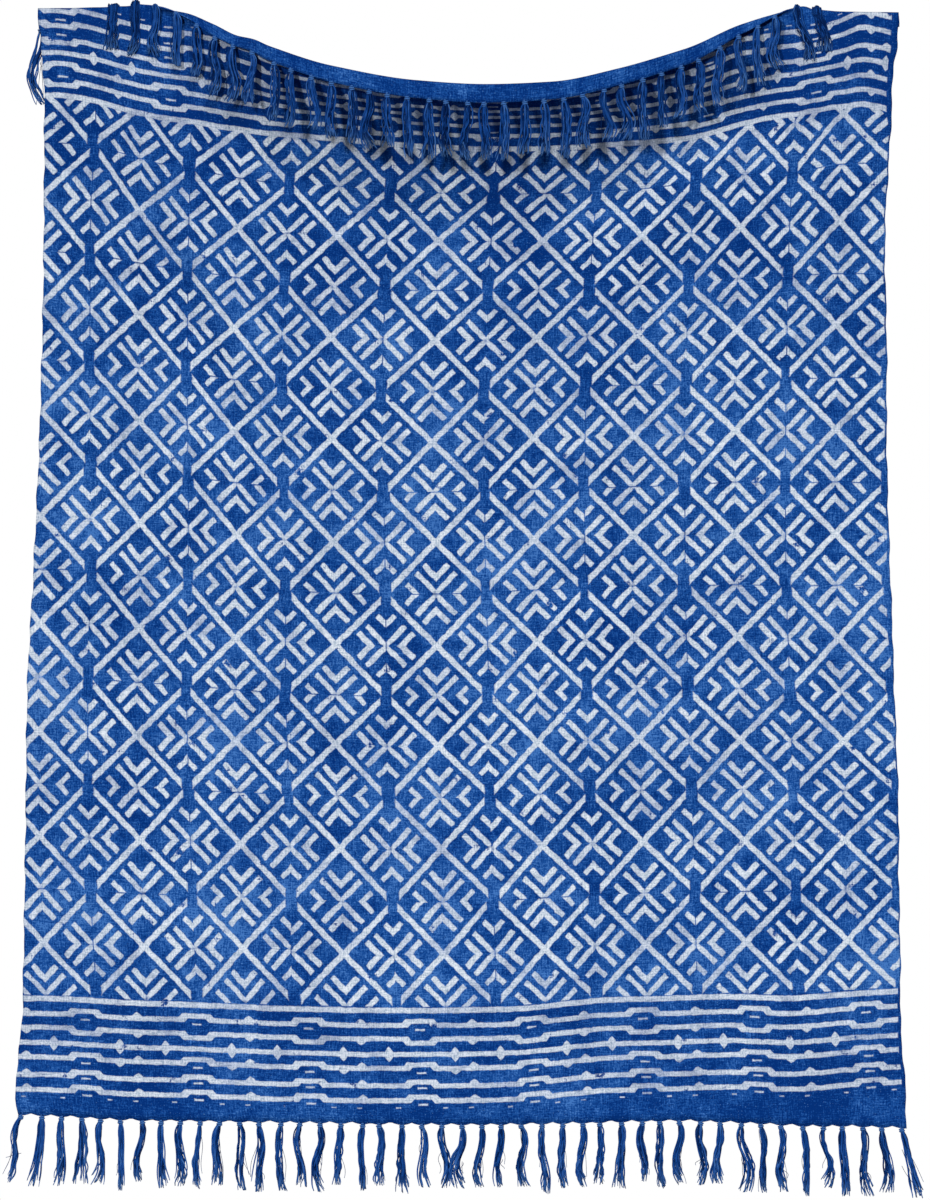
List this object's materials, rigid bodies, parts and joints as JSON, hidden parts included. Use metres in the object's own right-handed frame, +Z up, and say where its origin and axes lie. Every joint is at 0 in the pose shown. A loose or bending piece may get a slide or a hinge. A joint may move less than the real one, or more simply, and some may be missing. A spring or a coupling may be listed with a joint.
{
  "type": "hung block printed cotton throw with knotted fringes",
  "caption": "Thin cotton throw hung by its upper corners: the top edge sags, its fringed hem falls forward, and knotted tassels hang from both ends.",
  "frame": {"origin": "middle of the top edge, on the crest of the fold where the fringed hem turns over", "axes": "+Z up along the cloth, +X to the right of someone facing the printed side, +Y from the printed side to the plain one"},
  "size_m": [1.3466, 0.1569, 1.7585],
  "materials": {
    "printed_cotton": "matt plain-woven slub cotton, indigo ground with a pale resist block print",
    "fringe_yarn": "soft indigo cotton warp yarn, knotted in bundles"
  },
  "bodies": {
    "root": {"throw_cloth": "printed_cotton", "top_fringe": "fringe_yarn", "bottom_fringe": "fringe_yarn"}
  },
  "joints": []
}
